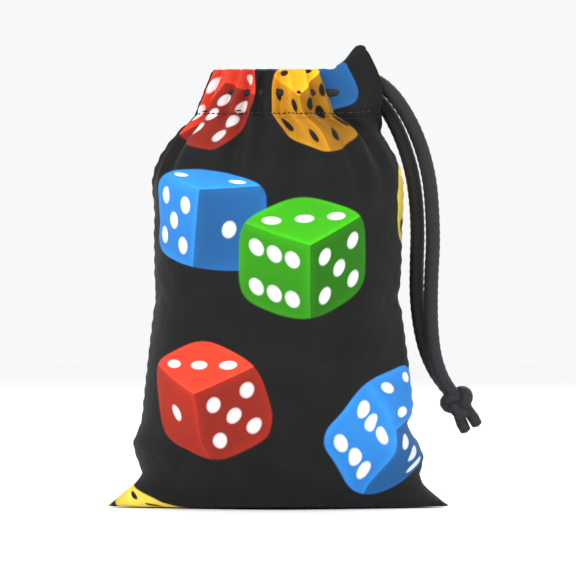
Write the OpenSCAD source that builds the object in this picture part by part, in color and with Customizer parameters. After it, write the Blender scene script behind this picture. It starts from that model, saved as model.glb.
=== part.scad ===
// Drawstring dice bag: two printed cloth panels, a gathered cord casing at the mouth and one drawcord.
// Millimetres. +Z is up, the front panel faces -Y, and the origin is the middle of the base.

/* [Bag body] */
// Flat width of the bag between its side seams, which the base keeps corner to corner
flat_w = 100; // [88:1:125]
// Width of the filled body at its slimmest
body_w = 72; // [60:1:84]
// Depth of the filled body, front to back
body_d = 54; // [44:1:65]
// Depth of the stretch of the base that lies on the table
base_d = 36; // [28:1:44]
// Height of the two panels, from the table to the cord casing
body_h = 116; // [96:1:140]
// Thickness of a panel's cloth
cloth = 1; // [0.8:0.1:1.4]
// Width of the seam allowance turned into the bag
allowance = 5; // [4:0.5:7]

/* [Mouth] */
// Width of the gathered mouth over the casing's top
mouth_w = 42; // [35:1:51]
// Depth of the gathered mouth over the casing's top
mouth_d = 21; // [20:0.5:25.5]
// Height of the cord casing
casing_h = 13; // [11:0.5:16]
// How far the casing's foot stands out past its top on every side
casing_flare = 5; // [4:0.5:6]
// Thickness of the casing's cloth
casing_wall = 0.8; // [0.6:0.1:1]
// Width of the gap in the right side seam where the cord comes out
slit_w = 9; // [8:0.5:11]
// Height of the hem corner that stands up beside the cord
ear_h = 6; // [4:0.5:8]
// Width of the hem corner at its foot
ear_w = 7; // [5:0.5:8]

/* [Drawcord] */
// Diameter of the drawcord
cord_d = 4.0; // [2.9:0.1:4.2]
// Diameter of the knot that ties the two ends together
knot_d = 9.5; // [8:0.5:12]
// Length of the knot
knot_l = 8.5; // [7:0.5:11]
// Length of each cord end below the knot
tip_l = 4.5; // [3.5:0.5:6]

/* [Stitching] */
// Length of one stitch
stitch = 2.2; // [1.8:0.1:2.7]
// Distance from one stitch to the next
stitch_pitch = 3; // [3:0.25:4]
// Thickness of the sewing thread
thread = 0.4; // [0.3:0.05:0.5]

/* [Hidden] */

// Clearances: between pieces of one body, and between pieces that move past each other.
touch = 0.1;
running = 0.3;
// Clearance between the cord and the casing around it.
tunnel_gap = 0.2;
// Clearance between the end of the cord inside the casing and the slit it leaves by.
slit_gap = 1.2;

// Outline of the filled body.
taper = 6;          // how much wider each side is at the base than at the waist
taper_h = 60;       // height over which that is lost
fin = flat_w / 2 - body_w / 2 - taper;  // each lower corner's point, past the body
fin_h = 9;          // height of that point
belly_h = 25;       // height where the front and back are fullest
shoulder_h = body_h - 24;   // where the sides start to close towards the mouth
chest_h = body_h - 31;      // where the front and back start to close
base_round = 1.35;  // exponent of the base's outline: pointed at its two corners
body_round = 2.05;  // exponent of the body's outline: nearly an ellipse
round_h = 18;       // height over which the first becomes the second

rings = 26;         // levels in a panel
columns = 26;       // columns in a panel, from one side seam to the other

// Mouth: a slot shape with half-round ends.
mouth_r = mouth_d / 2;
mouth_c = mouth_w / 2 - mouth_r;
foot_r = mouth_r + casing_flare;
casing_t = 2 * casing_wall + cord_d + 2 * tunnel_gap;
lip_z = body_h + running;
run_z = lip_z + casing_h / 2;
run_r = (mouth_r + foot_r - casing_t) / 2;

// Free stretches of the drawcord, from the mouth to the knot. Round numbers set by hand.
front_strand = [
    [17.5, -2.1, 123], [21, -2.1, 124.2], [25, -2.1, 125], [29, -2.1, 124], [33, -2.1, 120.8],
    [36.6, -2, 116], [39.8, -2, 110], [42.4, -2, 103], [44.2, -1.9, 95], [45, -1.9, 86],
    [45.2, -1.9, 77], [44.8, -1.9, 68], [44.6, -1.9, 60], [44.8, -1.9, 52],
    [45.6, -2, 45], [47.2, -2, 39.4], [49.4, -2, 35.2]
];
back_strand = [
    [17.5, 2.1, 121], [21, 2.1, 121.4], [25, 2.1, 121], [28.8, 2.1, 119.2], [32, 2.1, 115.6],
    [34.8, 2, 110.6], [37.2, 2, 104.6], [39.2, 2, 97.4], [40.4, 1.9, 89], [40.8, 1.9, 80],
    [40.6, 1.9, 71], [40.6, 1.9, 62], [41.4, 1.9, 54], [43, 2, 46.6],
    [45.6, 2, 40.4], [48.6, 2, 36]
];
knot_at = [52.6, 0, 30.6];
knot_lean = 28;     // the knot's lean from upright, its foot to the right
tube_sides = 8;

$fn = 48;

function mix(a, b, t) = a + (b - a) * t;
function clamp01(t) = max(0, min(1, t));
function smooth(t) = t * t * (3 - 2 * t);

// Half-width, half-depth and outline exponent of the body at height z.
function half_w(z) = z < shoulder_h
    ? body_w / 2 + taper * clamp01(1 - z / taper_h) + fin * pow(clamp01(1 - z / fin_h), 2)
    : mix(mouth_c + foot_r, body_w / 2, 1 - pow((z - shoulder_h) / (body_h - shoulder_h), 2));
function half_d(z) = z < belly_h
    ? mix(base_d / 2, body_d / 2, sqrt(1 - pow(1 - z / belly_h, 2)))
    : z < chest_h
    ? body_d / 2
    : mix(foot_r, body_d / 2, 1 - pow((z - chest_h) / (body_h - chest_h), 2));
function roundness(z) = mix(base_round, body_round, smooth(clamp01(z / round_h)));

// A point of the outline at level z and angle t, taken in from the outer face by inset. 0 is the right seam, 180 the left.
function power(v, e) = sign(v) * pow(abs(v), e);
function outline(z, t, inset) = [
    (half_w(z) - inset) * power(cos(t), 2 / roundness(z)),
    -(half_d(z) - inset) * power(abs(sin(t)), 2 / roundness(z))
];
// Levels lie closer together near the table, where the outline changes fastest. Level 1 is the floor of the bag.
function level(i) = i == 0 ? 0 : cloth + (body_h - cloth) * pow((i - 1) / (rings - 1), 1.35);
// One level's points, from the right seam along the front to the left seam.
function ring(z, inset) = [for (j = [0:columns]) let (p = outline(z, 180 * j / columns, inset)) [p[0], p[1], z]];

// Front half of the cloth shell, closed under the body, with its mouth open.
module half_shell() {
    n = columns + 1;
    points = concat(
        [for (i = [0:rings]) each ring(level(i), 0)],
        [for (i = [1:rings]) each ring(level(i), cloth)]
    );
    function o(i, j) = i * n + j;
    function q(i, j) = (rings + i) * n + j;
    walls = [for (i = [0:rings - 1], j = [0:columns - 1]) each [
        [o(i, j), o(i + 1, j + 1), o(i + 1, j)], [o(i, j), o(i, j + 1), o(i + 1, j + 1)]]];
    lining = [for (i = [1:rings - 1], j = [0:columns - 1]) each [
        [q(i, j), q(i + 1, j), q(i + 1, j + 1)], [q(i, j), q(i + 1, j + 1), q(i, j + 1)]]];
    rim = [for (j = [0:columns - 1]) each [
        [o(rings, j), q(rings, j + 1), q(rings, j)], [o(rings, j), o(rings, j + 1), q(rings, j + 1)]]];
    base = [[for (j = [columns:-1:0]) o(0, j)], [for (j = [0:columns]) q(1, j)]];
    side_cuts = [for (i = [1:rings - 1]) each [
        [o(i, 0), o(i + 1, 0), q(i + 1, 0), q(i, 0)],
        [q(i, columns), q(i + 1, columns), o(i + 1, columns), o(i, columns)]]];
    bottom_cut = [[o(0, 0), o(1, 0), q(1, 0), q(1, columns), o(1, columns), o(0, columns)]];
    polyhedron(points, concat(walls, lining, rim, base, side_cuts, bottom_cut));
}

module front_panel() {
    color("#141414") half_shell();
}

module back_panel() {
    color("#141414") mirror([0, 1, 0]) half_shell();
}

// Side seam allowance: a flap in the seam's plane, inside the bag. side is -1 for the left and 1 for the right.
module side_allowance(side) {
    low = cloth + 4;
    high = body_h - 2;
    edge = [for (i = [1:rings]) let (z = level(i)) if (z > low && z < high) [half_w(z) - cloth - running, z]];
    inside = [for (i = [len(edge) - 1:-1:0]) edge[i] - [allowance, 0]];
    color("#3a3a3c")
        mirror([side < 0 ? 1 : 0, 0, 0])
            rotate([90, 0, 0])
                translate([0, 0, -cloth / 2])
                    linear_extrude(cloth)
                        polygon(concat(edge, inside));
}

// Bottom seam allowance, folded flat on the floor of the bag.
module bottom_seam_allowance() {
    length = body_w + 4;
    color("#3a3a3c")
        translate([-length / 2, 0, cloth * 1.6])
            cube([length, allowance, cloth]);
}

// A row of stitches along a side seam allowance, on its front face.
module side_stitching(side) {
    low = cloth + 7;
    count = floor((body_h - low - 5) / stitch_pitch);
    color("#1d1d1f")
        for (i = [0:count - 1])
            let (z = low + i * stitch_pitch, slope = atan2(half_w(z + stitch) - half_w(z), stitch))
                translate([side * (half_w(z) - cloth - 2), -cloth / 2 - touch / 2 - thread, z])
                    rotate([0, side * slope, 0])
                        translate([-thread / 2, 0, 0])
                            cube([thread, thread, stitch]);
}

// The row that closes the bottom, on top of its folded allowance.
module bottom_seam_stitching() {
    count = floor(body_w / stitch_pitch);
    start = -(count * stitch_pitch - (stitch_pitch - stitch)) / 2;
    color("#1d1d1f")
        for (i = [0:count - 1])
            translate([start + i * stitch_pitch, 1, cloth * 2.6 + touch / 2])
                cube([stitch, thread, thread]);
}

// A dense bar of thread across a side seam, just under the casing. side is -1 for the left and 1 for the right.
module bar_tack(side) {
    z = body_h - 3;
    lean = atan2(half_w(z) - half_w(z + 1), 1);
    turns = 5;
    color("#1d1d1f")
        translate([side * (half_w(z) + touch), 0, z])
            rotate([0, -side * lean, 0])
                for (i = [0:turns - 1])
                    translate([side > 0 ? 0 : -2 * thread, -slit_w / 4, (i - turns / 2) * thread * 1.4])
                        cube([2 * thread, slit_w / 2, thread * 1.2]);
}

// Section through one wall of the casing, out from the slot shape's centre line, with the tunnel for the cord.
module casing_section() {
    function wall(h) = mix(foot_r, mouth_r, h / casing_h);
    module slice(low, high, out, in)
        polygon([[wall(low) - in, low], [wall(low) - out, low], [wall(high) - out, high], [wall(high) - in, high]]);
    difference() {
        slice(0, casing_h, 0, casing_t);
        slice(casing_wall, casing_h - casing_wall, casing_wall, casing_t - casing_wall);
    }
}

// Front half of the casing: the hem turned over the cord, open at the slit on the right.
module half_casing() {
    reach = mouth_w;
    translate([0, 0, lip_z])
        difference() {
            union() {
                for (side = [-1, 1])
                    translate([side * mouth_c, 0, 0])
                        rotate(side < 0 ? 180 : 270)
                            rotate_extrude(angle = 90)
                                casing_section();
                translate([-mouth_c, 0, 0])
                    rotate([90, 0, 90])
                        linear_extrude(2 * mouth_c)
                            mirror([1, 0])
                                casing_section();
            }
            translate([-reach, -running / 2, -1]) cube([2 * reach, reach, casing_h + 2]);
            translate([0, -slit_w / 2, -1]) cube([reach, slit_w, casing_h + 2]);
        }
}

// Corner of the hem beside the slit, which the pulled cord makes stand up on the casing's front wall.
module hem_corner() {
    right = mouth_c + mouth_r * 0.8;
    inset = mouth_r * 0.4;
    translate([0, -mouth_r + inset, lip_z + casing_h - touch])
        rotate([90, 0, 0])
            linear_extrude(casing_wall)
                polygon([[right - ear_w, 0], [right, 0], [right + 1, ear_h + touch]]);
}

module front_casing() {
    color("#141414") {
        half_casing();
        hem_corner();
    }
}

module back_casing() {
    color("#141414") mirror([0, 1, 0]) {
        half_casing();
        hem_corner();
    }
}

// Stitches round the foot of the front half of the casing, on its outer face.
module casing_stitching() {
    rise = 1.2;
    z = lip_z + rise;
    y = -mix(foot_r, mouth_r, rise / casing_h) - touch / 2 - thread;
    straight = floor(2 * mouth_c / stitch_pitch);
    start = -(straight * stitch_pitch - (stitch_pitch - stitch)) / 2;
    turns = floor(1.1 * foot_r / stitch_pitch);
    color("#1d1d1f") {
        for (i = [0:straight - 1])
            translate([start + i * stitch_pitch, y, z])
                cube([stitch, thread, thread]);
        for (side = [-1, 1], i = [1:turns])
            translate([side * mouth_c, 0, z])
                rotate(side * i * stitch_pitch / foot_r * 180 / PI)
                    translate([-stitch / 2, y - touch, 0])
                        cube([stitch, thread, thread]);
    }
}

// Sweep of a round section along a list of points.
function unit(v) = v / norm(v);
function heading(p, i) = unit(p[min(i + 1, len(p) - 1)] - p[max(i - 1, 0)]);
module tube(p, d) {
    up = [0, 1, 0.02];
    rim = [for (i = [0:len(p) - 1], s = [0:tube_sides - 1])
        let (h = heading(p, i), u = unit(cross(h, up)), v = cross(h, u), a = 360 * s / tube_sides)
            p[i] + (u * cos(a) + v * sin(a)) * d / 2];
    last = (len(p) - 1) * tube_sides;
    faces = concat(
        [[for (s = [0:tube_sides - 1]) s]],
        [[for (s = [tube_sides - 1:-1:0]) last + s]],
        [for (i = [0:len(p) - 2], s = [0:tube_sides - 1])
            let (a = i * tube_sides, b = a + tube_sides, t = (s + 1) % tube_sides) each [
                [a + s, b + s, b + t], [a + s, b + t, a + t]]]
    );
    polyhedron(rim, faces);
}

// Front half of the cord inside the casing: round the left end, along the front and up to the slit.
module cord_run() {
    turns = 5;
    // The end caps lean with the first chord, so a thicker cord stops further from the seam.
    seam_at = asin((running + cord_d / 2 * sin(45 / turns)) / run_r);
    slit_at = asin((slit_w / 2 + slit_gap) / run_r);
    left = [for (i = [0:turns]) let (a = mix(90 - seam_at, 0, i / turns))
        [-mouth_c - run_r * sin(a), -run_r * cos(a), run_z]];
    right = [for (i = [0:turns]) let (a = mix(0, 90 - slit_at, i / turns))
        [mouth_c + run_r * sin(a), -run_r * cos(a), run_z]];
    tube(concat(left, right), cord_d);
}

module drawcord_front_run() {
    color("#0c0c0c") cord_run();
}

module drawcord_back_run() {
    color("#0c0c0c") mirror([0, 1, 0]) cord_run();
}

module drawcord_front_strand() {
    color("#0c0c0c") tube(front_strand, cord_d);
}

module drawcord_back_strand() {
    color("#0c0c0c") tube(back_strand, cord_d);
}

// The knot's own frame: its foot along -Z, in the plane of the mouth's length.
module at_knot() {
    translate(knot_at) rotate([0, -knot_lean, 0]) children();
}

module end_knot() {
    steps = 12;
    flat = 0.8; // half-width of the flat at each end of the knot
    arc = [for (i = [0:steps]) let (a = 180 * i / steps - 90)
        [flat + (knot_d / 2 - flat) * cos(a), knot_l / 2 * sin(a)]];
    color("#0c0c0c")
        at_knot()
            rotate_extrude()
                polygon(concat([[0, -knot_l / 2]], arc, [[0, knot_l / 2]]));
}

// One sealed cord end below the knot. side is -1 for the front strand's and 1 for the back strand's.
module cord_tip(side) {
    color("#0c0c0c")
        at_knot()
            translate([side * (cord_d / 2 + touch), 0, -knot_l / 2 - touch - tip_l])
                cylinder(h = tip_l, d = cord_d - 0.2);
}

front_panel();
back_panel();
side_allowance(-1);  // left_seam_allowance
side_allowance(1);  // right_seam_allowance
bottom_seam_allowance();
side_stitching(-1);  // left_seam_stitching
side_stitching(1);  // right_seam_stitching
bottom_seam_stitching();
bar_tack(1);  // slit_bar_tack
bar_tack(-1);  // loop_bar_tack
front_casing();
back_casing();
casing_stitching();  // front_casing_stitching
mirror([0, 1, 0]) casing_stitching();  // back_casing_stitching
drawcord_front_run();
drawcord_back_run();
drawcord_front_strand();
drawcord_back_strand();
end_knot();
cord_tip(-1);  // front_cord_tip
cord_tip(1);  // back_cord_tip
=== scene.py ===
import math

import bmesh
import bpy
import numpy as np
from mathutils import Matrix, Vector
from mathutils.kdtree import KDTree


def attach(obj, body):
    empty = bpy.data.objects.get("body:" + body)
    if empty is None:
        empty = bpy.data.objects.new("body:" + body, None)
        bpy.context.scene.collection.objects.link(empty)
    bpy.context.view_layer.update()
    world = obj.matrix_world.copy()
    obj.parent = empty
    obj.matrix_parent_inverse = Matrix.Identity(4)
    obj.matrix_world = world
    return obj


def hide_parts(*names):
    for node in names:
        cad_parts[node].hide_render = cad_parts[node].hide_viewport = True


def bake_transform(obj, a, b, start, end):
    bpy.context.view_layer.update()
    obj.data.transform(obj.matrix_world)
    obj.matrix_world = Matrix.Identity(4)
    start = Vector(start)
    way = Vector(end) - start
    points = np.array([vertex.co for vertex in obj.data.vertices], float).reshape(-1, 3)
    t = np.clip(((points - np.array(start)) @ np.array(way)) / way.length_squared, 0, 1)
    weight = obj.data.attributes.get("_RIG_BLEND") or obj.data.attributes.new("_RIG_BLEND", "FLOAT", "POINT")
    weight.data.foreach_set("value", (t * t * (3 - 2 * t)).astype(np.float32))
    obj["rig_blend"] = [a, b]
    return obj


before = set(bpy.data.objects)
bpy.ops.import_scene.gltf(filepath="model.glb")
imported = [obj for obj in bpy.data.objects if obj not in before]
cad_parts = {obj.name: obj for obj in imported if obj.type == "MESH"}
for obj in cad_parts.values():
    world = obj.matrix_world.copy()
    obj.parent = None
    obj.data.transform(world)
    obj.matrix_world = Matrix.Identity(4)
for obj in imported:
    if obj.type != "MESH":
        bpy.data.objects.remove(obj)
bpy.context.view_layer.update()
scene = bpy.context.scene
mm = 0.001


def smooth(low, high, x):
    t = np.clip((np.asarray(x, float) - low) / (high - low), 0, 1)
    return t * t * (3 - 2 * t)


def newPiece(name, bm, materials):
    mesh = bpy.data.meshes.new(name)
    bm.to_mesh(mesh)
    bm.free()
    piece = bpy.data.objects.new(name, mesh)
    scene.collection.objects.link(piece)
    for material in materials:
        mesh.materials.append(material)
    mesh.shade_smooth()
    return piece


def applyModifiers(piece):
    shown = bpy.context.evaluated_depsgraph_get()
    mesh = bpy.data.meshes.new_from_object(piece.evaluated_get(shown), depsgraph=shown)
    piece.modifiers.clear()
    piece.data = mesh
    return piece


# camera: level and straight at the front, from far off
print("camera")
view = dict(distance=1.6, aimX=0.003, aimZ=0.064, fieldWidth=0.168, sensor=36)

cameraData = bpy.data.cameras.new("camera")
cameraData.sensor_width = view["sensor"]
cameraData.lens = view["sensor"] * view["distance"] / view["fieldWidth"]
camera = bpy.data.objects.new("camera", cameraData)
camera.location = (view["aimX"], -view["distance"], view["aimZ"])
camera.rotation_euler = (math.pi / 2, 0, 0)
scene.collection.objects.link(camera)
scene.camera = camera


# materials
print("materials")


def colour(hexValue):
    channels = [int(hexValue[i:i + 2], 16) / 255 for i in (1, 3, 5)]
    return [c / 12.92 if c <= 0.04045 else ((c + 0.055) / 1.055) ** 2.4 for c in channels] + [1]


def addNode(tree, kind, inputs=(), **settings):
    node = tree.nodes.new(kind)
    for key, value in settings.items():
        setattr(node, key, value)
    for key, value in (inputs.items() if isinstance(inputs, dict) else enumerate(inputs)):
        if isinstance(value, bpy.types.NodeSocket):
            tree.links.new(value, node.inputs[key])
        elif value is not None:
            node.inputs[key].default_value = value
    return node.outputs[0] if len(node.outputs) else node


def startMaterial(name):
    material = bpy.data.materials.new(name)
    material.use_nodes = True
    material.node_tree.nodes.clear()
    return material, material.node_tree


mathNode = "ShaderNodeMath"
vectorNode = "ShaderNodeVectorMath"

# one printed die, worked out as a cube seen from far off: size and turn come in as vectors
dieInputs = [
    ("place", "NodeSocketVector"), ("centre", "NodeSocketVector"), ("scale", "NodeSocketFloat"),
    ("acrossAxis", "NodeSocketVector"), ("upAxis", "NodeSocketVector"), ("sight", "NodeSocketVector"),
    ("sightInverse", "NodeSocketVector"), ("nearSides", "NodeSocketVector"), ("outline", "NodeSocketVector"),
    ("shades", "NodeSocketVector"), ("values", "NodeSocketVector"),
    ("ink", "NodeSocketColor"), ("pipInk", "NodeSocketColor"), ("under", "NodeSocketColor"),
]


def makeDieGroup():
    tree = bpy.data.node_groups.new("printedDie", "ShaderNodeTree")
    for name, kind in dieInputs:
        tree.interface.new_socket(name, in_out="INPUT", socket_type=kind)
    tree.interface.new_socket("print", in_out="OUTPUT", socket_type="NodeSocketColor")
    given = tree.nodes.new("NodeGroupInput")
    put = {name: given.outputs[name] for name, kind in dieInputs}
    half = (0.5, 0.5, 0)
    # point on the picture plane, in the die's own frame, where the die runs from -1 to 1
    rel = addNode(tree, vectorNode, [put["place"], put["centre"]], operation="SUBTRACT")
    rel = addNode(tree, vectorNode, {0: rel, "Scale": put["scale"]}, operation="SCALE")
    parts = addNode(tree, "ShaderNodeSeparateXYZ", [rel]).node.outputs
    across = addNode(tree, vectorNode, {0: put["acrossAxis"], "Scale": parts[0]}, operation="SCALE")
    up = addNode(tree, vectorNode, {0: put["upAxis"], "Scale": parts[1]}, operation="SCALE")
    start = addNode(tree, vectorNode, [across, up], operation="ADD")
    # where the line of sight first meets the die
    reach = addNode(tree, vectorNode, [put["nearSides"], start], operation="SUBTRACT")
    reach = addNode(tree, vectorNode, [reach, put["sightInverse"]], operation="MULTIPLY")
    reaches = addNode(tree, "ShaderNodeSeparateXYZ", [reach]).node.outputs
    far = addNode(tree, mathNode, [reaches[0], reaches[1]], operation="MAXIMUM")
    far = addNode(tree, mathNode, [far, reaches[2]], operation="MAXIMUM")
    step = addNode(tree, vectorNode, {0: put["sight"], "Scale": far}, operation="SCALE")
    hit = addNode(tree, vectorNode, [start, step], operation="ADD")
    hits = addNode(tree, "ShaderNodeSeparateXYZ", [hit]).node.outputs
    sides = [addNode(tree, mathNode, [reaches[i], far, 0.0001], operation="COMPARE") for i in range(3)]
    side = addNode(tree, "ShaderNodeCombineXYZ", sides)
    # outline with rounded corners
    edge = addNode(tree, vectorNode, [start, put["sight"]], operation="CROSS_PRODUCT")
    edge = addNode(tree, vectorNode, [edge, put["outline"]], operation="MULTIPLY")
    for power in range(3):
        edge = addNode(tree, vectorNode, [edge, edge], operation="MULTIPLY")
    edge = addNode(tree, vectorNode, [edge, (1, 1, 1)], operation="DOT_PRODUCT").node.outputs["Value"]
    inside = addNode(tree, "ShaderNodeMapRange", [edge, 1.12, 0.82, 0, 1], interpolation_type="SMOOTHSTEP")
    # place on the face that is seen, folded into one quarter of it
    turned = [addNode(tree, "ShaderNodeCombineXYZ", [hits[(i + 1) % 3] for i in range(3)]),
              addNode(tree, "ShaderNodeCombineXYZ", [hits[(i + 2) % 3] for i in range(3)])]
    flat = [addNode(tree, vectorNode, [t, side], operation="DOT_PRODUCT").node.outputs["Value"]
            for t in turned]
    fold = [addNode(tree, mathNode, [f], operation="ABSOLUTE") for f in flat]
    quarter = addNode(tree, "ShaderNodeCombineXYZ", fold)
    number = addNode(tree, vectorNode, [put["values"], side], operation="DOT_PRODUCT").node.outputs["Value"]
    # distance to the nearest pip that this face has
    centreGap = addNode(tree, vectorNode, [quarter], operation="LENGTH").node.outputs["Value"]
    cornerGap = addNode(tree, vectorNode, [quarter, half], operation="DISTANCE").node.outputs["Value"]
    middleGap = addNode(tree, vectorNode, [quarter, (0.5, 0, 0)], operation="DISTANCE").node.outputs["Value"]
    odd = addNode(tree, mathNode, [number, 2.0], operation="FLOORED_MODULO")
    product = addNode(tree, mathNode, flat, operation="MULTIPLY")
    diagonal = addNode(tree, mathNode, [product, 0.0], operation="GREATER_THAN")
    two = addNode(tree, mathNode, [number, 1.5], operation="GREATER_THAN")
    four = addNode(tree, mathNode, [number, 3.5], operation="GREATER_THAN")
    six = addNode(tree, mathNode, [number, 5.5], operation="GREATER_THAN")
    pair = addNode(tree, mathNode, [diagonal, two], operation="MULTIPLY")
    corners = addNode(tree, mathNode, [pair, four], operation="MAXIMUM")
    nearest = None
    for allowed, gap in ((odd, centreGap), (corners, cornerGap), (six, middleGap)):
        missing = addNode(tree, mathNode, [1.0, allowed], operation="SUBTRACT")
        gap = addNode(tree, mathNode, [missing, 5.0, gap], operation="MULTIPLY_ADD")
        nearest = gap if nearest is None else addNode(tree, mathNode, [nearest, gap], operation="MINIMUM")
    pip = addNode(tree, "ShaderNodeMapRange", [nearest, 0.235, 0.165, 0, 1], interpolation_type="SMOOTHSTEP")
    # each face its own shade, a little lighter towards its edges as on a moulded die
    shade = addNode(tree, vectorNode, [put["shades"], side], operation="DOT_PRODUCT").node.outputs["Value"]
    outer = addNode(tree, mathNode, fold, operation="MAXIMUM")
    rim = addNode(tree, "ShaderNodeMapRange", [outer, 0.72, 1.0, 1.0, 1.22], interpolation_type="SMOOTHSTEP")
    shade = addNode(tree, mathNode, [shade, rim], operation="MULTIPLY")
    glow = addNode(tree, mathNode, [flat[0], 0.08, 1.0], operation="MULTIPLY_ADD")
    shade = addNode(tree, mathNode, [shade, glow], operation="MULTIPLY")
    face = addNode(tree, vectorNode, {0: put["ink"], "Scale": shade}, operation="SCALE")
    pipShade = addNode(tree, mathNode, [shade, 0.35, 0.68], operation="MULTIPLY_ADD")
    pipColour = addNode(tree, vectorNode, {0: put["pipInk"], "Scale": pipShade}, operation="SCALE")
    face = addNode(tree, "ShaderNodeMix", {0: pip, 6: face, 7: pipColour}, data_type="RGBA").node.outputs[2]
    top = addNode(tree, "ShaderNodeMix", {0: inside, 6: put["under"], 7: face},
                  data_type="RGBA").node.outputs[2]
    tree.links.new(top, tree.nodes.new("NodeGroupOutput").inputs["print"])
    return tree


# where each die is printed, in millimetres on the flat-cut cloth:
# across from the left seam, up from the bottom seam
# ink, across, up, edge length, turn in degrees (tipped, spun, rolled), pips on the three sides that show
# a later die lies over an earlier one, and the yellow die at the right seam carries on round the back
inks = dict(
    green=("#3aa80c", "#f2f6ee"), blue=("#2f8be0", "#f0f5fb"), red=("#de3a24", "#f6ecea"),
    yellow=("#ecd04a", "#15120c"), orange=("#f2a81c", "#15120c"),
)
printedDice = dict(
    front=[
        ("blue", 28, 103, 26.4, (12, 39, -4), (5, 2, 1)),
        ("green", 57.6, 92, 26.5, (26, 50, 0), (6, 3, 5)),
        ("red", 30.5, 47, 25, (30, 33, 15), (1, 3, 5)),
        ("blue", 84, 34, 27, (-28, -38, 33), (4, 3, 6)),
        ("yellow", 15, -3, 24, (12, 50, 0), (5, 3, 4)),
        ("red", 22, 144, 26, (28, 40, -34), (5, 3, 6)),
        ("blue", 77, 151, 21, (24, 36, 0), (3, 6, 2)),
        ("orange", 67, 141, 23, (30, 42, 5), (4, 2, 5)),
        ("yellow", 109, 106, 25, (24, 40, 0), (2, 6, 4)),
    ],
    back=[
        ("yellow", 9, 106, 25, (24, 40, 0), (2, 6, 4)),
        ("red", 40, 98, 26, (26, 48, 8), (6, 3, 5)),
        ("green", 78, 84, 26, (20, 38, -6), (4, 1, 5)),
        ("blue", 54, 52, 26, (28, 50, 12), (5, 3, 6)),
        ("orange", 19, 40, 25, (26, 36, -10), (3, 2, 4)),
        ("red", 88, 36, 26, (24, 44, 5), (1, 5, 3)),
        ("orange", 62, 136, 24, (30, 42, 8), (5, 1, 4)),
        ("blue", 24, 142, 24, (26, 46, -20), (3, 6, 2)),
        ("green", 56, 6, 25, (22, 40, 0), (2, 4, 6)),
    ],
)
dieGroup = makeDieGroup()


def printDie(tree, place, under, backShift, die):
    ink, across, up, edge, (tip, spin, roll), values = die
    # the die's frame seen in the picture's: Z towards the eye
    turn = Matrix.Rotation(math.radians(roll), 3, "Z") @ Matrix.Rotation(math.radians(tip), 3, "X") \
        @ Matrix.Rotation(math.radians(spin), 3, "Y")
    back = turn.transposed()
    sight = back @ Vector((0, 0, -1))
    near = [-math.copysign(1, s) for s in sight]
    size = [abs(s) for s in sight]
    lit = (turn @ Vector((near[0], 0, 0)), turn @ Vector((0, near[1], 0)), turn @ Vector((0, 0, near[2])))
    lamp = Vector((-0.35, 0.75, 0.55)).normalized()
    shades = [0.34 + 0.8 * max(0, side.dot(lamp)) for side in lit]
    group = tree.nodes.new("ShaderNodeGroup")
    group.node_tree = dieGroup
    given = dict(
        centre=(across + backShift, up, 0), scale=2 / edge,
        acrossAxis=back @ Vector((1, 0, 0)), upAxis=back @ Vector((0, 1, 0)), sight=sight,
        sightInverse=[1 / s for s in sight], nearSides=near,
        outline=[1 / (size[1] + size[2]), 1 / (size[0] + size[2]), 1 / (size[0] + size[1])],
        shades=shades, values=values, ink=colour(inks[ink][0]), pipInk=colour(inks[ink][1]),
    )
    for name, value in given.items():
        group.inputs[name].default_value = value
    tree.links.new(place, group.inputs["place"])
    if isinstance(under, bpy.types.NodeSocket):
        tree.links.new(under, group.inputs["under"])
    else:
        group.inputs["under"].default_value = under
    return group.outputs["print"]


cloth = dict(
    black="#0b0b0c", worn="#131315", reverse="#202023", threadPitch=0.55, weaveDepth=0.05 * mm,
    rough=0.74, sheen=0.05, backShift=200,
)


def clothSurface(tree, base, depth):
    # plain weave; real threads lie about 0.25 mm apart, drawn twice as coarse so that they show
    place = addNode(tree, "ShaderNodeUVMap", uv_map="flatCut")
    turns = 2 * math.pi / cloth["threadPitch"]
    ways = addNode(tree, "ShaderNodeSeparateXYZ", [place]).node.outputs
    waves = []
    for way in (0, 1):
        angle = addNode(tree, mathNode, [ways[way], turns * 100], operation="MULTIPLY")
        waves.append(addNode(tree, mathNode, [angle], operation="SINE"))
    weave = addNode(tree, mathNode, waves, operation="MULTIPLY")
    slub = addNode(tree, "ShaderNodeTexNoise", {"Vector": place, "Scale": 120.0, "Detail": 3.0})
    height = addNode(tree, mathNode, [slub, 0.8, weave], operation="MULTIPLY_ADD")
    bump = addNode(tree, "ShaderNodeBump", {"Strength": 0.55, "Distance": depth, "Height": height})
    fade = addNode(tree, "ShaderNodeTexNoise", {"Vector": place, "Scale": 5.0, "Detail": 4.0})
    fade = addNode(tree, "ShaderNodeMapRange", [fade, 0.3, 0.75, 0.9, 1.12])
    # painted shade: the weave's low spots are coloured darker and its crests lighter
    weaveShade = addNode(tree, "ShaderNodeMapRange", [weave, -1.0, 1.0, 0.88, 1.08])
    tone = addNode(tree, mathNode, [fade, weaveShade], operation="MULTIPLY")
    base = addNode(tree, vectorNode, {0: base, "Scale": tone}, operation="SCALE")
    rough = addNode(tree, "ShaderNodeMapRange",
                    [fade, 0.9, 1.12, cloth["rough"] - 0.05, cloth["rough"] + 0.07])
    surface = addNode(tree, "ShaderNodeBsdfPrincipled", {
        "Base Color": base, "Roughness": rough, "Normal": bump,
        "Sheen Weight": cloth["sheen"], "Sheen Roughness": 0.45, "Specular IOR Level": 0.22,
    })
    addNode(tree, "ShaderNodeOutputMaterial", [surface])


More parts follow.
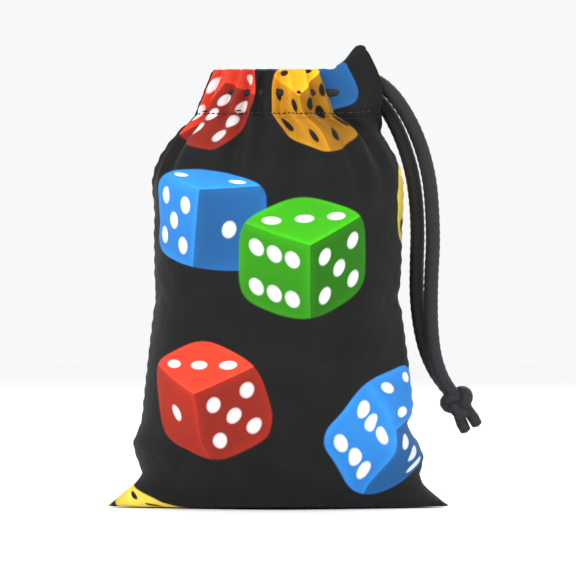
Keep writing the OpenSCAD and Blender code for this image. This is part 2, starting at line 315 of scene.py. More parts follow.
def makePrintedCloth(name, panel):
    # plain-woven polyester, dyed black and transfer printed:
    # dull, with soft-edged ink that sinks in the weave
    material, tree = startMaterial(name)
    place = addNode(tree, "ShaderNodeUVMap", uv_map="flatCut")
    place = addNode(tree, vectorNode, {0: place, "Scale": 100.0}, operation="SCALE")
    shift = cloth["backShift"] if panel == "back" else 0
    wear = addNode(tree, "ShaderNodeTexNoise", {"Vector": place, "Scale": 0.09, "Detail": 5.0})
    wear = addNode(tree, "ShaderNodeMapRange", [wear, 0.45, 0.75, 0, 1])
    ink = addNode(tree, "ShaderNodeMix", {0: wear, 6: colour(cloth["black"]), 7: colour(cloth["worn"])},
                  data_type="RGBA").node.outputs[2]
    for die in printedDice[panel]:
        ink = printDie(tree, place, ink, shift, die)
    clothSurface(tree, ink, cloth["weaveDepth"])
    return material


def makeReverseCloth():
    # unprinted side of the same cloth: greyer, because only the face was dyed to full black
    material, tree = startMaterial("polyesterReverse")
    place = addNode(tree, "ShaderNodeUVMap", uv_map="flatCut")
    patch = addNode(tree, "ShaderNodeTexNoise", {"Vector": place, "Scale": 14.0, "Detail": 4.0})
    base = addNode(tree, "ShaderNodeMix", {0: patch, 6: colour("#151517"), 7: colour(cloth["reverse"])},
                   data_type="RGBA").node.outputs[2]
    clothSurface(tree, base, cloth["weaveDepth"])
    return material


def makeYarn(name, dark, light, filament, rough, sheen):
    # spun filament: fine parallel lines along each strand and a dull sheen; the colour carries painted shade,
    # darker in the hollows and lighter on the raised strands
    material, tree = startMaterial(name)
    place = addNode(tree, "ShaderNodeUVMap", uv_map="strand")
    parts = addNode(tree, "ShaderNodeSeparateXYZ", [place]).node.outputs
    height = addNode(tree, "ShaderNodeAttribute", attribute_name="strandHeightShade").node.outputs["Fac"]
    lines = addNode(tree, mathNode, [parts[0], filament], operation="MULTIPLY")
    lines = addNode(tree, mathNode, [lines], operation="SINE")
    fuzz = addNode(tree, "ShaderNodeTexNoise", {"Vector": place, "Scale": 90.0, "Detail": 3.0})
    relief = addNode(tree, mathNode, [lines, 0.35, fuzz], operation="MULTIPLY_ADD")
    bump = addNode(tree, "ShaderNodeBump", {"Strength": 0.6, "Distance": 0.05 * mm, "Height": relief})
    # painted shade: the strand's height mixes the colour from dark in the hollows to light on the raised
    # tops, with random fuzz on top
    raised = addNode(tree, "ShaderNodeMapRange", [height, 0.0, 1.0, 0.0, 0.8])
    fuzzAndHollowShade = addNode(tree, mathNode, [fuzz, 0.5, raised], operation="MULTIPLY_ADD")
    base = addNode(tree, "ShaderNodeMix", {0: fuzzAndHollowShade, 6: colour(dark), 7: colour(light)},
                   data_type="RGBA").node.outputs[2]
    surface = addNode(tree, "ShaderNodeBsdfPrincipled", {
        "Base Color": base, "Roughness": rough, "Normal": bump,
        "Sheen Weight": sheen, "Sheen Roughness": 0.4, "Specular IOR Level": 0.4,
    })
    addNode(tree, "ShaderNodeOutputMaterial", [surface])
    return material


frontPrint = makePrintedCloth("printedPolyesterFront", "front")
backPrint = makePrintedCloth("printedPolyesterBack", "back")
reverseCloth = makeReverseCloth()
# each yarn: its dark colour in the painted-shade hollows, its light colour as a painted highlight on the
# raised strands
braid = makeYarn("braidedPolyesterCord", "#050506", "#1b1b1f", 60.0, 0.62, 0.06)
meltedEnd = makeYarn("heatSealedPolyester", "#050506", "#121214", 8.0, 0.28, 0.05)
sewingThread = makeYarn("spunPolyesterThread", "#0e0e10", "#2a2a2f", 40.0, 0.55, 0.08)


# the bag: two flat-cut panels sewn together and laid on a filled, gathered form,
# then settled by cloth simulation
print("bag")
bag = dict(
    columns=80, rows=104, flatWidth=100, flatHeight=150, seamY=0.3,
    bodyWidth=74, bodyDepth=54, taper=5, taperHeight=60, fin=9.6, finHeight=9,
    edgeBumps=((-1, 18, 3.5, 1.9), (-1, 9, 2.6, -2.0), (1, 23, 3, -2.8), (1, 14, 3.4, 1.8)),
    baseDepth=34, baseRound=1.35, bodyRound=2.1, mouthRound=2.7, bellyHeight=24,
    shoulderHeight=92, chestHeight=84, footWidth=50, footDepth=29, mouthWidth=40, mouthDepth=20,
    footHeight=113.5, topHeight=125.8, casingFlat=14, slitFlat=131,
    pleats=10, pleatDepth=1.5, pleatStart=92, thickness=0.4,
    wallHeight=118, gatherX=26, gatherY=16, parted=0.07,
)
levels = np.arange(0, 131, 1.0)


def bagSection(z):
    # half width, half depth and roundness of the bag's outline at height z
    foot, top = bag["footHeight"], bag["topHeight"]
    hw = bag["bodyWidth"] / 2 + bag["taper"] * max(0, 1 - z / bag["taperHeight"]) \
        + bag["fin"] * max(0, 1 - z / bag["finHeight"]) ** 2
    low = min(1, z / bag["bellyHeight"])
    hd = bag["baseDepth"] / 2 + (bag["bodyDepth"] - bag["baseDepth"]) / 2 * math.sqrt(1 - (1 - low) ** 2)
    rise = max(0, (z - bag["shoulderHeight"]) / (foot - bag["shoulderHeight"]))
    close = max(0, (z - bag["chestHeight"]) / (foot - bag["chestHeight"]))
    if z <= foot:
        hw -= (bag["bodyWidth"] - bag["footWidth"]) / 2 * rise ** 2
        hd -= (bag["bodyDepth"] - bag["footDepth"]) / 2 * close ** 2
    else:
        share = (z - foot) / (top - foot)
        hw = (bag["footWidth"] + share * (bag["mouthWidth"] - bag["footWidth"])) / 2
        hd = (bag["footDepth"] + share * (bag["mouthDepth"] - bag["footDepth"])) / 2
    roundness = bag["baseRound"] + (bag["bodyRound"] - bag["baseRound"]) * float(smooth(0, 18, z)) \
        + (bag["mouthRound"] - bag["bodyRound"]) * float(smooth(96, 120, z))
    return hw, hd, roundness


def sectionTable():
    # equal steps along the front half of each level's outline, from the left seam to the right
    angle = np.linspace(math.pi, 0, 241)
    share = np.linspace(0, 1, 101)
    table = np.zeros((len(levels), len(share), 2))
    for i, z in enumerate(levels):
        hw, hd, n = bagSection(z)
        x = hw * np.sign(np.cos(angle)) * np.abs(np.cos(angle)) ** (2 / n)
        y = hd * np.abs(np.sin(angle)) ** (2 / n)
        for edge, height, spread, bump in bag["edgeBumps"]:
            x += edge * bump * math.exp(-((z - height) / spread) ** 2) * smooth(0.55, 1, x * edge / hw)
        run = np.concatenate([[0], np.cumsum(np.hypot(np.diff(x), np.diff(y)))])
        table[i, :, 0] = np.interp(share * run[-1], run, x)
        table[i, :, 1] = np.interp(share * run[-1], run, y)
    return table


outlines = sectionTable()


def onOutline(z, share):
    # z and share as arrays; returns x and y, with y out to the front or back
    zi = np.clip(z, 0, levels[-1] - 0.001)
    si = np.clip(share, 0, 1) * 100
    a, b = zi.astype(int), np.minimum(si.astype(int), 99)
    fa, fb = (zi - a)[:, None], (si - b)[:, None]
    low = outlines[a, b] * (1 - fb) + outlines[a, b + 1] * fb
    high = outlines[a + 1, b] * (1 - fb) + outlines[a + 1, b + 1] * fb
    out = low * (1 - fa) + high * fa
    return out[:, 0], out[:, 1]


def filledShape(across, up, side):
    # flat-cut place (mm) to the filled, gathered bag; side is -1 in front and 1 behind
    width, height = bag["flatWidth"], bag["flatHeight"]
    x0 = across - width / 2
    under = bag["baseDepth"] / 2 * np.clip(1 - np.abs(x0 / (width / 2)) ** bag["baseRound"], 0, 1) \
        ** (1 / bag["baseRound"])
    casing = height - bag["casingFlat"]
    wallTotal = bag["wallHeight"] + under
    travel = up / casing * wallTotal
    wall = np.clip((travel - under) / (wallTotal - under), 0, 1)
    z = wall * bag["footHeight"]
    z = np.where(up > casing, bag["footHeight"] + (up - casing) / bag["casingFlat"]
                 * (bag["topHeight"] - bag["footHeight"]), z)
    # the casing's halves part at the slit on the right
    parted = smooth(bag["slitFlat"], casing + 2, up)
    share = across / width
    x, y = onOutline(z, share * (1 - bag["parted"] * parted))
    y = np.maximum(y, 0)
    # pleats: crests on the outline, hollows inside it
    warp = share + 0.012 * np.sin(2 * math.pi * 3 * share + side) + 0.006 * np.sin(2 * math.pi * 7 * share)
    warp = np.where(share <= 0, 0, np.where(share >= 1, 1, warp))
    deep = bag["pleatDepth"] * smooth(bag["pleatStart"], casing, up) \
        * (1 + 0.25 * np.sin(2 * math.pi * 4.3 * share + 1.3 * side))
    inward = deep * (1 - np.cos(2 * math.pi * bag["pleats"] * warp)) * (1 - 0.85 * smooth(0.84, 0.92, share))
    length = np.hypot(x / bag["gatherX"] ** 2, y / bag["gatherY"] ** 2) + 1e-9
    x = x - inward * x / bag["gatherX"] ** 2 / length
    y = y - inward * y / bag["gatherY"] ** 2 / length
    floor = travel < under
    x = np.where(floor, x0, x)
    y = np.where(floor, travel, np.maximum(y, 0))
    z = np.where(floor, 0.3, z + 0.3)
    return np.stack([x, y * side, z], axis=1), travel / np.maximum(under, 0.01)


def makeBag():
    bm = bmesh.new()
    uv = bm.loops.layers.uv.new("flatCut")
    width, height, casing = bag["flatWidth"], bag["flatHeight"], bag["flatHeight"] - bag["casingFlat"]
    for side in (-1, 1):
        made = bmesh.ops.create_grid(bm, x_segments=bag["columns"], y_segments=bag["rows"], size=0.5)["verts"]
        bmesh.ops.scale(bm, vec=(width, height, 1), verts=made)
        bmesh.ops.rotate(bm, cent=(0, 0, 0), matrix=Matrix.Rotation(math.pi / 2, 3, "X"), verts=made)
        if side > 0:
            bmesh.ops.rotate(bm, cent=(0, 0, 0), matrix=Matrix.Rotation(math.pi, 3, "Z"), verts=made)
        bmesh.ops.translate(bm, vec=(0, 0, height / 2), verts=made)
        # the row that is nearest the casing's foot lies on it
        for vert in made:
            onSeam = abs(abs(vert.co.x) - width / 2) < 0.01 or vert.co.z < 0.01
            onSlit = vert.co.x > width / 2 - 0.01 and vert.co.z > bag["slitFlat"]
            vert.co.y = 0 if onSeam and not onSlit else side * bag["seamY"]
        for face in set(face for vert in made for face in vert.link_faces):
            middle = face.calc_center_median()
            face.material_index = (0 if side < 0 else 1) + (2 if middle.z > casing else 0)
            for loop in face.loops:
                flatX = loop.vert.co.x + width / 2
                if side > 0:
                    flatX = width - flatX + cloth["backShift"]
                loop[uv].uv = (flatX / 100, loop.vert.co.z / 100)
    bmesh.ops.remove_doubles(bm, verts=bm.verts, dist=0.05)
    bag3d = newPiece("bagCloth", bm, [])
    for slot in range(4):
        bag3d.data.materials.append(None)
    return bag3d


simulation = dict(
    scale=10, frames=24, pressure=2.2, quality=6, mass=0.3, tension=20, shear=8, bending=0.8,
    damping=10, bendDamping=2, airDamping=3, cap=7, holdWall=0.06,
)


def simulateBag():
    cloth3d = makeBag()
    mesh = cloth3d.data
    count = len(mesh.vertices)
    flat = np.zeros(count * 3)
    mesh.vertices.foreach_get("co", flat)
    flat = flat.reshape(-1, 3)
    across, up = flat[:, 0] + bag["flatWidth"] / 2, flat[:, 2]
    side = np.where(flat[:, 1] > 0, 1.0, -1.0)
    start, underShare = filledShape(across, up, side)
    seam = np.abs(flat[:, 1]) < 0.01
    start[seam, 1] = 0
    start = raiseHemCorner(start, across, up, side)
    for name, values in (("flatAcross", across), ("flatUp", up), ("flatSide", side)):
        mesh.attributes.new(name, "FLOAT", "POINT").data.foreach_set("value", values.astype(np.float32))
    k = simulation["scale"] * mm
    cloth3d.shape_key_add(name="filled")
    flatKey = cloth3d.shape_key_add(name="flatCutShape")
    cloth3d.data.shape_keys.key_blocks["filled"].data.foreach_set("co", (start * k).ravel())
    flatKey.data.foreach_set("co", (flat * k).ravel())
    mesh.vertices.foreach_set("co", (start * k).ravel())
    hold = np.full(count, simulation["holdWall"])
    hold[underShare < 0.8] = 1
    hold[up > bag["flatHeight"] - bag["casingFlat"] - 0.1] = 1
    hold[(np.abs(across - bag["flatWidth"] / 2) > 49.9) & (up < 1)] = 1
    group = cloth3d.vertex_groups.new(name="hold")
    for value in sorted(set(hold)):
        group.add([int(i) for i in np.nonzero(hold == value)[0]], float(value), "REPLACE")
    modifier = cloth3d.modifiers.new("cloth", "CLOTH")
    settings = modifier.settings
    settings.quality = simulation["quality"]
    settings.mass = simulation["mass"]
    settings.tension_stiffness = settings.compression_stiffness = simulation["tension"]
    settings.shear_stiffness = simulation["shear"]
    settings.bending_stiffness = simulation["bending"]
    settings.tension_damping = settings.compression_damping = simulation["damping"]
    settings.bending_damping = simulation["bendDamping"]
    settings.air_damping = simulation["airDamping"]
    settings.vertex_group_mass = "hold"
    settings.pin_stiffness = 1
    settings.use_pressure = True
    settings.uniform_pressure_force = simulation["pressure"]
    settings.effector_weights.gravity = 0
    settings.rest_shape_key = flatKey
    modifier.collision_settings.use_collision = False
    modifier.collision_settings.use_self_collision = False
    modifier.point_cache.frame_start = 1
    modifier.point_cache.frame_end = simulation["frames"]
    for number in range(1, simulation["frames"] + 1):
        scene.frame_set(number)
    shown = bpy.context.evaluated_depsgraph_get()
    settled = cloth3d.evaluated_get(shown).to_mesh()
    moved = np.zeros(count * 3)
    settled.vertices.foreach_get("co", moved)
    moved = moved.reshape(-1, 3) / k
    step = moved - start
    length = np.linalg.norm(step, axis=1, keepdims=True)
    print("  largest move, mm:", round(float(length.max()), 1), "mean", round(float(length.mean()), 2))
    moved = start + step * np.minimum(1, simulation["cap"] / np.maximum(length, 1e-6))
    moved[:, 2] = np.maximum(moved[:, 2], 0.3)
    moved[seam, 1] *= 0.3
    cloth3d.modifiers.clear()
    cloth3d.shape_key_clear()
    mesh.vertices.foreach_set("co", (moved * mm).ravel())
    mesh.update()
    scene.frame_set(1)
    return cloth3d


hemCorner = dict(width=0.17, rise=7.6, lean=6.2, bulge=4.6, forward=3.0, behind=0.3)


def raiseHemCorner(place, across, up, side):
    # beside the slit the front corner of the hem stands up and out like a leaf, where the cord pushes it
    share = np.clip((across / bag["flatWidth"] - 1 + hemCorner["width"]) / hemCorner["width"], 0, 1)
    high = np.clip((up - bag["slitFlat"]) / (bag["flatHeight"] - bag["slitFlat"]), 0, 1)
    amount = share * np.where(side < 0, 1, hemCorner["behind"])
    place[:, 2] += hemCorner["rise"] * amount * share * high ** 1.5
    place[:, 0] += amount * (hemCorner["lean"] * high + hemCorner["bulge"] * np.sin(math.pi * high))
    place[:, 1] += side * hemCorner["forward"] * amount * high
    return place


bagCloth = simulateBag()
subdivide = bagCloth.modifiers.new("smooth", "SUBSURF")
subdivide.levels = subdivide.render_levels = 1
applyModifiers(bagCloth)
print("  bag vertices", len(bagCloth.data.vertices))

sewn = dict(
    groove=0.5, grooveWidth=1.3, pucker=0.16, puckerPitch=4.5, casingGroove=0.4, casingLine=137,
    foldRadius=2.0, foldHeight=1.5, turnLength=12.5, closedGap=0.8,
)


def readCloth(piece):
    # every point's place and normal, with its place on the flat cut
    mesh = piece.data
    count = len(mesh.vertices)
    place, normal = np.zeros(count * 3), np.zeros(count * 3)
    mesh.vertices.foreach_get("co", place)
    mesh.vertices.foreach_get("normal", normal)
    table = [place.reshape(-1, 3) / mm, normal.reshape(-1, 3)]
    for name in ("flatAcross", "flatUp", "flatSide"):
        values = np.zeros(count, np.float32)
        mesh.attributes[name].data.foreach_get("value", values)
        table.append(values)
    return table


def sewCloth(piece):
    # seams pull the cloth in along a narrow line and pucker it beside the line
    place, normal, across, up, side = readCloth(piece)
    edge = np.minimum(across, bag["flatWidth"] - across)
    parting = smooth(bag["slitFlat"] - 3, bag["slitFlat"], up) * (across > bag["flatWidth"] / 2)
    held = smooth(5, 14, up) * (1 - parting)
    move = sewn["pucker"] * np.sin(2 * math.pi * up / sewn["puckerPitch"]) * np.exp(-(edge / 4) ** 2) * held
    move -= sewn["groove"] * np.exp(-(edge / sewn["grooveWidth"]) ** 2) * held
    move -= sewn["casingGroove"] * np.exp(-(up - sewn["casingLine"]) ** 2)
    place += normal * move[:, None]
    piece.data.vertices.foreach_set("co", (place * mm).ravel())
    piece.data.update()


def clothFinder(piece):
    # gives the place and normal of a point named by where it is on the flat cut
    place, normal, across, up, side = readCloth(piece)
    trees = {}
    for panel, sign in (("front", -1), ("back", 1)):
        onSeam = np.minimum(across, bag["flatWidth"] - across) < 0.05
        near = np.nonzero((side * sign > 0) | onSeam)[0]
        trees[panel] = KDTree(len(near))
        for i in near:
            trees[panel].insert((across[i], up[i], 0), int(i))
        trees[panel].balance()

    def find(panel, a, u):
        hits = trees[panel].find_n((a, u, 0), 4)
        share = np.array([1 / (gap + 0.02) ** 2 for spot, i, gap in hits])
        share = share / share.sum()
        rows = [i for spot, i, gap in hits]
        return Vector(share @ place[rows]), Vector(share @ normal[rows]).normalized()

    return find


sewCloth(bagCloth)
findCloth = clothFinder(bagCloth)


def towardsMiddle(point):
    return -Vector((point.x / bag["gatherX"] ** 2, point.y / bag["gatherY"] ** 2, 0)).normalized()


def foldHem(bm, panel):
    # the top edge rolls over, turns down inside the casing and closes on the stitch line
    acrossLayer, upLayer = (bm.verts.layers.float[name] for name in ("flatAcross", "flatUp"))
    uv = bm.loops.layers.uv["flatCut"]
    height = bag["flatHeight"]
    edges = [e for e in bm.edges if e.is_boundary and all(v[upLayer] > height - 0.1 for v in e.verts)]
    top = {v: v.co.copy() / mm for e in edges for v in e.verts}
    inward = {v: towardsMiddle(place) for v, place in top.items()}
    wide = 2 * sewn["foldRadius"]
    steps = [("roll", math.pi * k / 6) for k in range(1, 7)]
    steps += [("down", sewn["turnLength"] * k / 6) for k in range(1, 7)]
    flatUp = height
    for kind, amount in steps:
        made = bmesh.ops.extrude_edge_only(bm, edges=edges)["geom"]
        edges = [g for g in made if isinstance(g, bmesh.types.BMEdge)]
        flatUp += 1.0 if kind == "roll" else sewn["turnLength"] / 6
        newTop, newInward = {}, {}
        for vert in (g for g in made if isinstance(g, bmesh.types.BMVert)):
            source = next(e.other_vert(vert) for e in vert.link_edges if e.other_vert(vert) in top)
            newTop[vert], newInward[vert] = top[source], inward[source]
            vert[acrossLayer], vert[upLayer] = source[acrossLayer], flatUp
            if kind == "roll":
                place = top[source] + inward[source] * sewn["foldRadius"] * (1 - math.cos(amount))
                place.z += sewn["foldHeight"] * math.sin(amount)
            else:
                outer = findCloth(panel, vert[acrossLayer], height - amount)[0]
                closing = float(smooth(0.45, 1, amount / sewn["turnLength"]))
                place = outer + inward[source] * (wide + (sewn["closedGap"] - wide) * closing)
            vert.co = place * mm
        for face in (g for g in made if isinstance(g, bmesh.types.BMFace)):
            face.smooth = True
            for loop in face.loops:
                flatX = loop.vert[acrossLayer]
                if panel == "back":
                    flatX = bag["flatWidth"] - flatX + cloth["backShift"]
                loop[uv].uv = (flatX / 100, loop.vert[upLayer] / 100)
        top, inward = newTop, newInward
    bmesh.ops.recalc_face_normals(bm, faces=bm.faces)
    # outwards is away from the middle on the outer layer
    outside = max(bm.faces, key=lambda f: abs(f.calc_center_median().y))
    if outside.normal.y * outside.calc_center_median().y < 0:
        bmesh.ops.reverse_faces(bm, faces=bm.faces)


def takeCloth(name, index, panel, printed, nodes):
    bm = bmesh.new()
    bm.from_mesh(bagCloth.data)
    bmesh.ops.delete(bm, geom=[f for f in bm.faces if f.material_index != index], context="FACES")
    for face in bm.faces:
        face.material_index = 0
    if index > 1:
        foldHem(bm, panel)
    piece = newPiece(name, bm, [printed, reverseCloth])
    wall = piece.modifiers.new("wall", "SOLIDIFY")
    wall.thickness, wall.offset = bag["thickness"] * mm, -1
    wall.material_offset = wall.material_offset_rim = 1
    applyModifiers(piece)
    followLip(piece, panel)
    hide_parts(*nodes)
    return piece


def followLip(piece, panel):
    # the lip's cloth turns with it and fades into the bag below the shoulder and beside the seams
    # the band clears the chest below the fold, where turning would push the cloth through itself
    out = -1 if panel == "front" else 1
    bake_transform(piece, "bag", panel + "_lip", start=(0, 0, 0.1255), end=(0, out * 0.0037, 0.12796))


def onBag(piece, node):
    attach(piece, "bag")
    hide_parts(node)


frontCloth = takeCloth("frontCloth", 0, "front", frontPrint, ["front_panel"])
backCloth = takeCloth("backCloth", 1, "back", backPrint, ["back_panel"])
frontHem = takeCloth("frontHem", 2, "front", frontPrint, ["front_casing"])
backHem = takeCloth("backHem", 3, "back", backPrint, ["back_casing"])


# sewing: each stitch is its own short, sunk length of thread
print("sewing")
sewing = dict(
    length=2.1, radius=0.2, sink=0.04, tackStitches=9, tackHeight=2.6, tackHalf=2.2, tackRadius=0.24,
    hemStart=3, hemPitch=2.2, hemLength=1.6, hemRun=94, seamStart=12, seamStep=1.5, bottomStart=-37.5,
)


def addStitch(bm, uv, height, a, b, normal, radius):
    made = bmesh.ops.create_uvsphere(bm, u_segments=6, v_segments=5, radius=1)["verts"]
    for vert in made:
        # painted shade: this height lightens the stitch's colour on its outward top and darkens it where it
        # sinks into the cloth
        vert[height] = 0.5 + 0.5 * vert.co.y
        for loop in vert.link_loops:
            loop[uv].uv = (vert.co.x, vert.co.z)
    along = (b - a).normalized()
    out = (normal - along * normal.dot(along)).normalized()
    across = out.cross(along)
    matrix = Matrix((across * radius, out * radius, along * ((b - a).length / 2))).transposed().to_4x4()
    matrix.translation = (a + b) / 2
    bmesh.ops.transform(bm, matrix=matrix, verts=made)


def makeStitches(name, runs, radius=None):
    bm = bmesh.new()
    uv, height = bm.loops.layers.uv.new("strand"), bm.verts.layers.float.new("strandHeightShade")
    for a, b, normal in runs:
        addStitch(bm, uv, height, a * mm, b * mm, normal, (radius or sewing["radius"]) * mm)
    for face in bm.faces:
        face.smooth = True
    return newPiece(name, bm, [sewingThread])


def casingRuns(panel):
    runs = []
    for k in range(int(sewing["hemRun"] / sewing["hemPitch"])):
        start = sewing["hemStart"] + sewing["hemPitch"] * k
        ends = [findCloth(panel, start + shift, sewn["casingLine"]) for shift in (0, sewing["hemLength"])]
        a, b = (place + normal * (sewing["radius"] - sewing["sink"]) for place, normal in ends)
        runs.append((a, b, ends[0][1]))
    return runs


for panel in ("front", "back"):
    stitches = makeStitches(panel + "HemStitches", casingRuns(panel))
    followLip(stitches, panel)
    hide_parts(panel + "_casing_stitching")


def tackRuns(across, middle):
    # close zigzag bars over the seam, each in two halves so that it bends round the edge
    runs = []
    beside = abs(across - sewing["tackHalf"])
    for k in range(sewing["tackStitches"]):
        up = middle + sewing["tackHeight"] * (k / (sewing["tackStitches"] - 1) - 0.5)
        ends = (("front", beside, up), ("front", across, up + 0.15), ("back", beside, up))
        spots = [findCloth(*end) for end in ends]
        front, seam, back = (place + normal * sewing["radius"] for place, normal in spots)
        runs += [(front, seam, spots[0][1]), (seam, back, spots[2][1])]
    return runs


for name, across, up in (("slit", bag["flatWidth"], 129.6), ("loop", 0, 131.5)):
    tack = makeStitches(name + "BarTack", tackRuns(across, up), sewing["tackRadius"])
    onBag(tack, name + "_bar_tack")


allowance = dict(width=5.0, thickness=0.8, clear=1.0, rows=3)


def makeAllowance(name, line, inward, lift):
    # the doubled raw edge inside a seam: it starts just inside the cloth and lies inwards, slightly waved
    bm = bmesh.new()
    uv = bm.loops.layers.uv.new("flatCut")
    rows = allowance["rows"]
    bmesh.ops.create_grid(bm, x_segments=len(line) - 1, y_segments=rows, size=0.5)
    for vert in bm.verts:
        i, j = round((vert.co.x + 0.5) * (len(line) - 1)), round((vert.co.y + 0.5) * rows)
        out = allowance["clear"] + allowance["width"] * j / rows
        wave = 0.25 * math.sin(i * 0.55) * j / rows
        for loop in vert.link_loops:
            loop[uv].uv = (out / 100, i * sewing["seamStep"] / 100)
        vert.co = (line[i] + inward * out + lift * wave) * mm
    bmesh.ops.recalc_face_normals(bm, faces=bm.faces)
    piece = newPiece(name, bm, [reverseCloth])
    wall = piece.modifiers.new("layers", "SOLIDIFY")
    wall.thickness, wall.offset = allowance["thickness"] * mm, 0
    return applyModifiers(piece)


def seamRuns(line, inward, lift):
    runs = []
    raised = inward * (allowance["clear"] + 1) + lift * (allowance["thickness"] / 2 + sewing["radius"] / 2)
    for i in range(0, len(line) - 2, 2):
        a, b = line[i] + raised, line[i + 1] + raised
        runs.append((a, a + (b - a).normalized() * sewing["length"], lift))
    return runs


def sideLine(across, count):
    return [findCloth("front", across, sewing["seamStart"] + sewing["seamStep"] * k)[0] for k in range(count)]


bottomLine = [Vector((sewing["bottomStart"] + sewing["seamStep"] * k, 0, 1.5)) for k in range(51)]
seamLines = dict(
    left=(sideLine(0, 79), Vector((1, 0, 0)), Vector((0, -1, 0))),
    right=(sideLine(bag["flatWidth"], 78), Vector((-1, 0, 0)), Vector((0, -1, 0))),
    bottom=(bottomLine, Vector((0, 1, 0)), Vector((0, 0, 1))),
)
for where, (line, inward, lift) in seamLines.items():
    onBag(makeAllowance(where + "Allowance", line, inward, lift), where + "_seam_allowance")
    stitches = makeStitches(where + "SeamStitches", seamRuns(line, inward, lift))
    onBag(stitches, where + "_seam_stitching")


# drawcord: braided round the outside, with a real raised plait
print("drawcord")
cordMake = dict(
    diameter=4.0, plaits=8, plaitLength=2.2, sides=32, step=0.4, relief=0.24, pressed=2.6,
    hemHeight=143.5, hemStep=1.5, hemPoints=61, softTurns=6,
)
# the last point of each route is inside the knot
frontRoute = [
    (17.5, -2.1, 123), (21, -2.1, 124.2), (25, -2.1, 125), (29, -2.1, 124), (33, -2.1, 120.8),
    (36.6, -2, 116), (39.8, -2, 110), (42.4, -2, 103), (44.2, -1.9, 95), (45, -1.9, 86),
    (45.2, -1.9, 77), (44.8, -1.9, 68), (44.6, -1.9, 60), (44.8, -1.9, 52), (45.6, -2, 45),
    (47.2, -2, 39.4), (49.4, -2, 35.2), (51.9, -1.2, 31.9),
]
backRoute = [
    (17.5, 2.1, 121), (21, 2.1, 121.4), (25, 2.1, 121), (28.8, 2.1, 119.2), (32, 2.1, 115.6),
    (34.8, 2, 110.6), (37.2, 2, 104.6), (39.2, 2, 97.4), (40.4, 1.9, 89), (40.8, 1.9, 80),
    (40.6, 1.9, 71), (40.6, 1.9, 62), (41.4, 1.9, 54), (43, 2, 46.6), (45.6, 2, 40.4),
    (48.6, 2, 36), (51.7, 1.2, 32.1),
]


def smoothRoute(points, step, closed=False):
    # Catmull-Rom through the points, then equal steps along it
    p = np.array(points, float)
    p = np.vstack([p[-1:], p, p[:2]]) if closed else np.vstack([2 * p[0] - p[1], p, 2 * p[-1] - p[-2]])
    t = np.linspace(0, 1, 12, endpoint=False)[:, None]
    fine = [0.5 * (2 * b + (c - a) * t + (2 * a - 5 * b + 4 * c - d) * t ** 2
                   + (3 * b - a - 3 * c + d) * t ** 3)
            for a, b, c, d in zip(p, p[1:], p[2:], p[3:])]
    fine = np.vstack(fine + [p[-2:-1]])
    run = np.concatenate([[0], np.cumsum(np.linalg.norm(np.diff(fine, axis=0), axis=1))])
    at = np.linspace(0, run[-1], max(4, int(run[-1] / step)))
    return np.stack([np.interp(at, run, fine[:, axis]) for axis in range(3)], axis=1), run[-1]


def plaitHeight(a, b, over):
    # two families of strands, each over the other in turn
    across, along = (b % 1, a % 1) if over else (a % 1, b % 1)
    return math.sqrt(max(0, 1 - (2 * across - 1) ** 2)) * (0.55 + 0.45 * math.sin(math.pi * along))


def addCord(bm, uv, heightLayer, points, diameter, seal=0, closed=False):
    centres, length = smoothRoute(points, cordMake["step"], closed)
    rings, sides = len(centres), cordMake["sides"]
    headings = np.gradient(centres, axis=0)
    normal = Vector((0, 1, 0.02))
    frames = []
    for heading in headings:
        heading = Vector(heading).normalized()
        normal = (normal - heading * normal.dot(heading)).normalized()
        frames.append((normal, heading.cross(normal)))
    made = bmesh.ops.create_grid(bm, x_segments=rings - 1, y_segments=sides, size=0.5)["verts"]
    faces = {face for vert in made for face in vert.link_faces}
    for vert in made:
        i, j = round((vert.co.x + 0.5) * (rings - 1)), round((vert.co.y + 0.5) * sides)
        run, turn = length * i / (rings - 1), j / sides
        a = turn * cordMake["plaits"] + run / cordMake["plaitLength"]
        b = turn * cordMake["plaits"] - run / cordMake["plaitLength"]
        over = (math.floor(a) + math.floor(b)) % 2 == 0
        left = length - run
        fade = min(1, max(0, left - 0.4) / seal) if seal else 1
        raised = plaitHeight(a, b, over) * fade
        reach = diameter / 2 + cordMake["relief"] * (raised - 0.4)
        if seal and left < seal / 2:
            reach *= math.sqrt(max(0.04, 1 - (1 - left / (seal / 2)) ** 2))
        for loop in vert.link_loops:
            loop[uv].uv = (b, a) if over else (a, b)
        # the plait's height also paints shade in the yarn colour: darker in the hollows between strands,
        # lighter on the raised ones
        vert[heightLayer] = raised
        out, beside = frames[i]
        angle = 2 * math.pi * turn
        vert.co = (Vector(centres[i]) + (out * math.cos(angle) + beside * math.sin(angle)) * reach) * mm
    for face in faces:
        face.smooth = True
        centre = face.calc_center_median() / mm
        face.material_index = 1 if seal and (Vector(centres[-1]) - centre).length < seal * 1.2 else 0
    bmesh.ops.remove_doubles(bm, verts=made, dist=0.002 * mm)
    loose = [e for e in bm.edges if e.is_boundary]
    if loose:
        bmesh.ops.holes_fill(bm, edges=loose, sides=0)
    return centres


def makeCord(name, routes, diameter, seal=0, closed=False):
    bm = bmesh.new()
    uv, height = bm.loops.layers.uv.new("strand"), bm.verts.layers.float.new("strandHeightShade")
    for route in routes:
        centres = addCord(bm, uv, height, route, diameter, seal, closed)
    bmesh.ops.recalc_face_normals(bm, faces=bm.faces)
    return newPiece(name, bm, [braid, meltedEnd]), centres


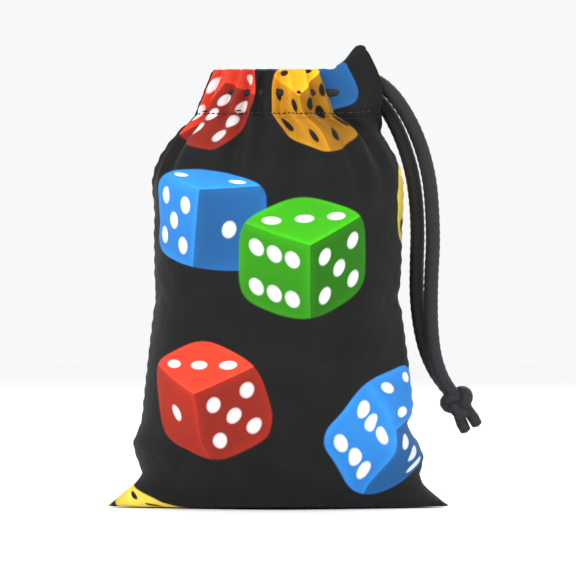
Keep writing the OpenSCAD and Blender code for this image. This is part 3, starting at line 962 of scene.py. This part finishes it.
def hemRoute(panel):
    # inside the casing the cord follows the gathers loosely, drawn a little thinner than outside
    places = [findCloth(panel, sewing["hemStart"] + cordMake["hemStep"] * k, cordMake["hemHeight"])[0]
              for k in range(cordMake["hemPoints"])]
    inner = np.array([place + towardsMiddle(place) * sewn["foldRadius"] for place in places])
    soft = inner.copy()
    for turn in range(cordMake["softTurns"]):
        soft[1:-1] = (soft[:-2] + soft[1:-1] * 2 + soft[2:]) / 4
    out = -1 if panel == "front" else 1
    return [tuple(p) for p in soft[::3]] + [(18.4, out * 3.3, 122.6)]


for panel in ("front", "back"):
    run = makeCord(panel + "Run", [hemRoute(panel)], cordMake["pressed"])[0]
    followLip(run, panel)
    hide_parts("drawcord_" + panel + "_run")


knot = dict(
    place=(52.6, 0, 30.6), lean=-28, reach=1.16, depth=1.3, apart=0.9, diameter=3.5, points=36,
    tipApart=1.85, tipFoot=8.95, tipDiameter=3.2, seal=1.3,
)
knotTurn = Matrix.Translation(knot["place"]) @ Matrix.Rotation(math.radians(knot["lean"]), 4, "Y")


def knotRoute(shift):
    # the closed form of an overhand knot, three crossing loops pulled tight
    route = []
    for k in range(knot["points"]):
        t = 2 * math.pi * k / knot["points"]
        route.append(knotTurn @ Vector((
            knot["reach"] * (math.sin(t) + 2 * math.sin(2 * t)), shift - knot["depth"] * math.sin(3 * t),
            0.95 * knot["reach"] * (math.cos(t) - 2 * math.cos(2 * t)))))
    return route


def tipRoute(side):
    points = [(0.65, -2.6), (0.85, -4.2), (1, -6.2), (1.02, -knot["tipFoot"])]
    return [knotTurn @ Vector((side * knot["tipApart"] * x, 0, z)) for x, z in points]


def onCord(piece, node):
    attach(piece, "drawcord")
    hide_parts(node)
    return piece


endKnot = onCord(makeCord("endKnot", [knotRoute(-knot["apart"]), knotRoute(knot["apart"])], knot["diameter"],
                          closed=True)[0], "end_knot")
for panel, side in (("front", -1), ("back", 1)):
    tip = makeCord(panel + "Tip", [tipRoute(side)], knot["tipDiameter"], knot["seal"])[0]
    onCord(tip, panel + "_cord_tip")

for panel, route, length in (("front", frontRoute, 0.110), ("back", backRoute, 0.104)):
    strand, centres = makeCord(panel + "Strand", [route], cordMake["diameter"])
    # paid back into the casing as the mouth opens: still at the slit, moving fully at the knot
    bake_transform(strand, "bag", "drawcord", start=(0.0175, 0, 0.126), end=(0.049, 0, 0.035))
    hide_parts("drawcord_" + panel + "_strand")

bpy.data.objects.remove(bagCloth)


# floor and light
print("stage")
stage = dict(floor="#fafafa", size=6, key=16, fill=7, rim=8, world=0.97)

floorMesh = bmesh.new()
bmesh.ops.create_grid(floorMesh, x_segments=1, y_segments=1, size=stage["size"] / 2)
floorMaterial, floorTree = startMaterial("paleFloor")
addNode(floorTree, "ShaderNodeOutputMaterial", [addNode(floorTree, "ShaderNodeBsdfPrincipled", {
    "Base Color": colour(stage["floor"]), "Roughness": 0.7})])
floorPiece = newPiece("floor", floorMesh, [floorMaterial])

world = bpy.data.worlds.new("studio")
world.use_nodes = True
world.node_tree.nodes["Background"].inputs[0].default_value = colour("#fbfcfd")
world.node_tree.nodes["Background"].inputs[1].default_value = stage["world"]
scene.world = world
scene.view_settings.view_transform = "Standard"


def addLamp(name, power, size, place, aim):
    data = bpy.data.lights.new(name, "AREA")
    data.energy, data.size = power, size
    lamp = bpy.data.objects.new(name, data)
    lamp.location = place
    lamp.rotation_euler = (Vector(aim) - Vector(place)).to_track_quat("-Z", "Y").to_euler()
    scene.collection.objects.link(lamp)


middle = (0, 0, 0.07)
addLamp("keyLamp", stage["key"], 0.7, (-0.9, -1.1, 1.1), middle)
addLamp("fillLamp", stage["fill"], 1.0, (1.2, -0.8, 0.6), middle)
addLamp("rimLamp", stage["rim"], 0.6, (0.5, 1.2, 1.0), middle)
